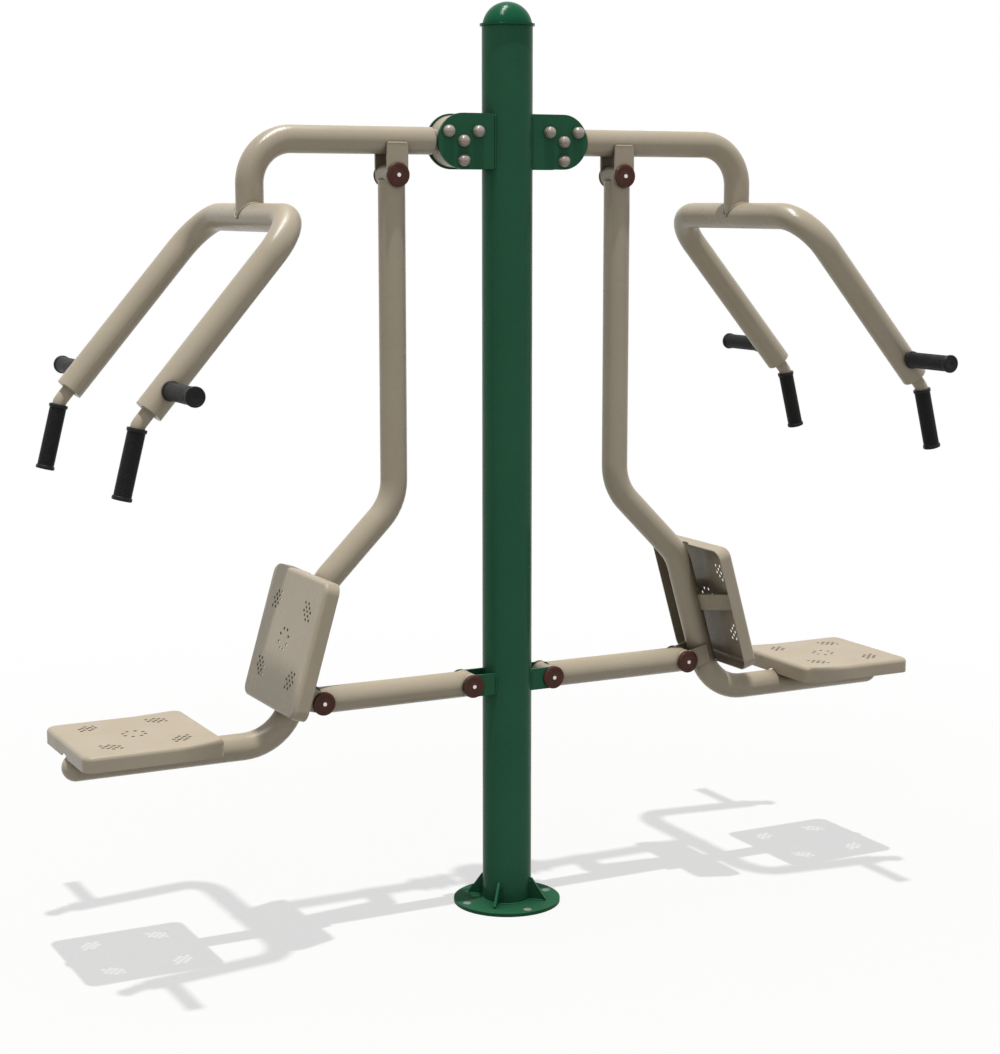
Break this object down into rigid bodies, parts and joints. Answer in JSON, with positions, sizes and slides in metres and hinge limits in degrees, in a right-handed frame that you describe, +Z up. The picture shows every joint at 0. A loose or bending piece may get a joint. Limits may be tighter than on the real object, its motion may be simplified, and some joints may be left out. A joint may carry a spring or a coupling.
{
  "type": "outdoor seated press machine",
  "caption": "Two-person outdoor seated press: a round post with swinging press arms, hanging perforated seats with backrests, guide links and rubber-gripped handlebars.",
  "frame": {"origin": "centre of the base flange on the floor, on the post's axis", "axes": "+Z up along the post, +X towards the right station, +Y to the back of the pictured view"},
  "size_m": [2.112, 0.916, 2.069],
  "materials": {
    "green_paint": "glossy powder coat",
    "taupe_paint": "glossy powder coat",
    "nut_paint": "glossy paint",
    "cap_plastic": "matte moulded",
    "grip_rubber": "matte textured",
    "buffer_rubber": "matte",
    "bearing_steel": "ground",
    "axle_steel": "zinc plated"
  },
  "bodies": {
    "post": {"post_tube": "green_paint", "base_flange": "green_paint", "base_gussets": "green_paint", "post_cap": "green_paint", "upper_bracket_plates": "green_paint", "lower_bracket_ears": "green_paint", "bracket_bolts": "axle_steel", "bracket_dome_nuts": "nut_paint", "stop_buffers": "buffer_rubber", "arm_axle_spacers": "axle_steel", "lower_axles": "axle_steel", "lower_axle_caps": "cap_plastic"},
    "right_arm": {"right_arm_hub": "taupe_paint", "right_arm_hub_bearings": "bearing_steel", "right_arm_spigot": "taupe_paint", "right_arm_tube": "taupe_paint", "right_arm_ears": "taupe_paint", "right_top_axle": "axle_steel", "right_top_axle_caps": "cap_plastic", "right_handlebar": "taupe_paint", "right_handlebar_plugs": "taupe_paint", "right_handle_rods": "taupe_paint", "right_hand_grips": "grip_rubber"},
    "right_seat_frame": {"right_frame_tube": "taupe_paint", "right_top_sleeve": "taupe_paint", "right_top_bearings": "bearing_steel", "right_frame_end_plug": "taupe_paint", "right_frame_ears": "taupe_paint", "right_link_axle": "axle_steel", "right_link_axle_caps": "cap_plastic", "right_pan_bars": "taupe_paint", "right_seat_pan": "taupe_paint", "right_backrest_pan": "taupe_paint"},
    "right_link": {"right_link_tube": "taupe_paint", "right_link_sleeves": "taupe_paint", "right_link_bearings": "bearing_steel"},
    "left_arm": {"left_arm_hub": "taupe_paint", "left_arm_hub_bearings": "bearing_steel", "left_arm_spigot": "taupe_paint", "left_arm_tube": "taupe_paint", "left_arm_ears": "taupe_paint", "left_top_axle": "axle_steel", "left_top_axle_caps": "cap_plastic", "left_handlebar": "taupe_paint", "left_handlebar_plugs": "taupe_paint", "left_handle_rods": "taupe_paint", "left_hand_grips": "grip_rubber"},
    "left_seat_frame": {"left_frame_tube": "taupe_paint", "left_top_sleeve": "taupe_paint", "left_top_bearings": "bearing_steel", "left_frame_end_plug": "taupe_paint", "left_frame_ears": "taupe_paint", "left_link_axle": "axle_steel", "left_link_axle_caps": "cap_plastic", "left_pan_bars": "taupe_paint", "left_seat_pan": "taupe_paint", "left_backrest_pan": "taupe_paint"},
    "left_link": {"left_link_tube": "taupe_paint", "left_link_sleeves": "taupe_paint", "left_link_bearings": "bearing_steel"}
  },
  "joints": [
    {"name": "right_arm_swing", "type": "hinge", "parent": "post", "child": "right_arm", "pos_m": [0.1256, 0, 1.763], "axis": [0, -1, 0], "range_deg": [0, 25]},
    {"name": "right_seat_swing", "type": "hinge", "parent": "right_arm", "child": "right_seat_frame", "pos_m": [0.2846, 0, 1.6886], "axis": [0, 1, 0], "range_deg": [0, 26.3]},
    {"name": "right_link_swing", "type": "hinge", "parent": "post", "child": "right_link", "pos_m": [0.1041, 0, 0.534], "axis": [0, -1, 0], "range_deg": [0, 10.9]},
    {"name": "left_arm_swing", "type": "hinge", "parent": "post", "child": "left_arm", "pos_m": [-0.1256, 0, 1.763], "axis": [0, 1, 0], "range_deg": [0, 25]},
    {"name": "left_seat_swing", "type": "hinge", "parent": "left_arm", "child": "left_seat_frame", "pos_m": [-0.2846, 0, 1.6886], "axis": [0, -1, 0], "range_deg": [0, 26.3]},
    {"name": "left_link_swing", "type": "hinge", "parent": "post", "child": "left_link", "pos_m": [-0.1041, 0, 0.534], "axis": [0, 1, 0], "range_deg": [0, 10.9]}
  ],
  "couplings": [
    {"joint": "right_seat_swing", "follows": "right_arm_swing", "ratio": 1.0493},
    {"joint": "right_link_swing", "follows": "right_arm_swing", "ratio": 0.4349},
    {"joint": "left_seat_swing", "follows": "left_arm_swing", "ratio": 1.0493},
    {"joint": "left_link_swing", "follows": "left_arm_swing", "ratio": 0.4349}
  ]
}
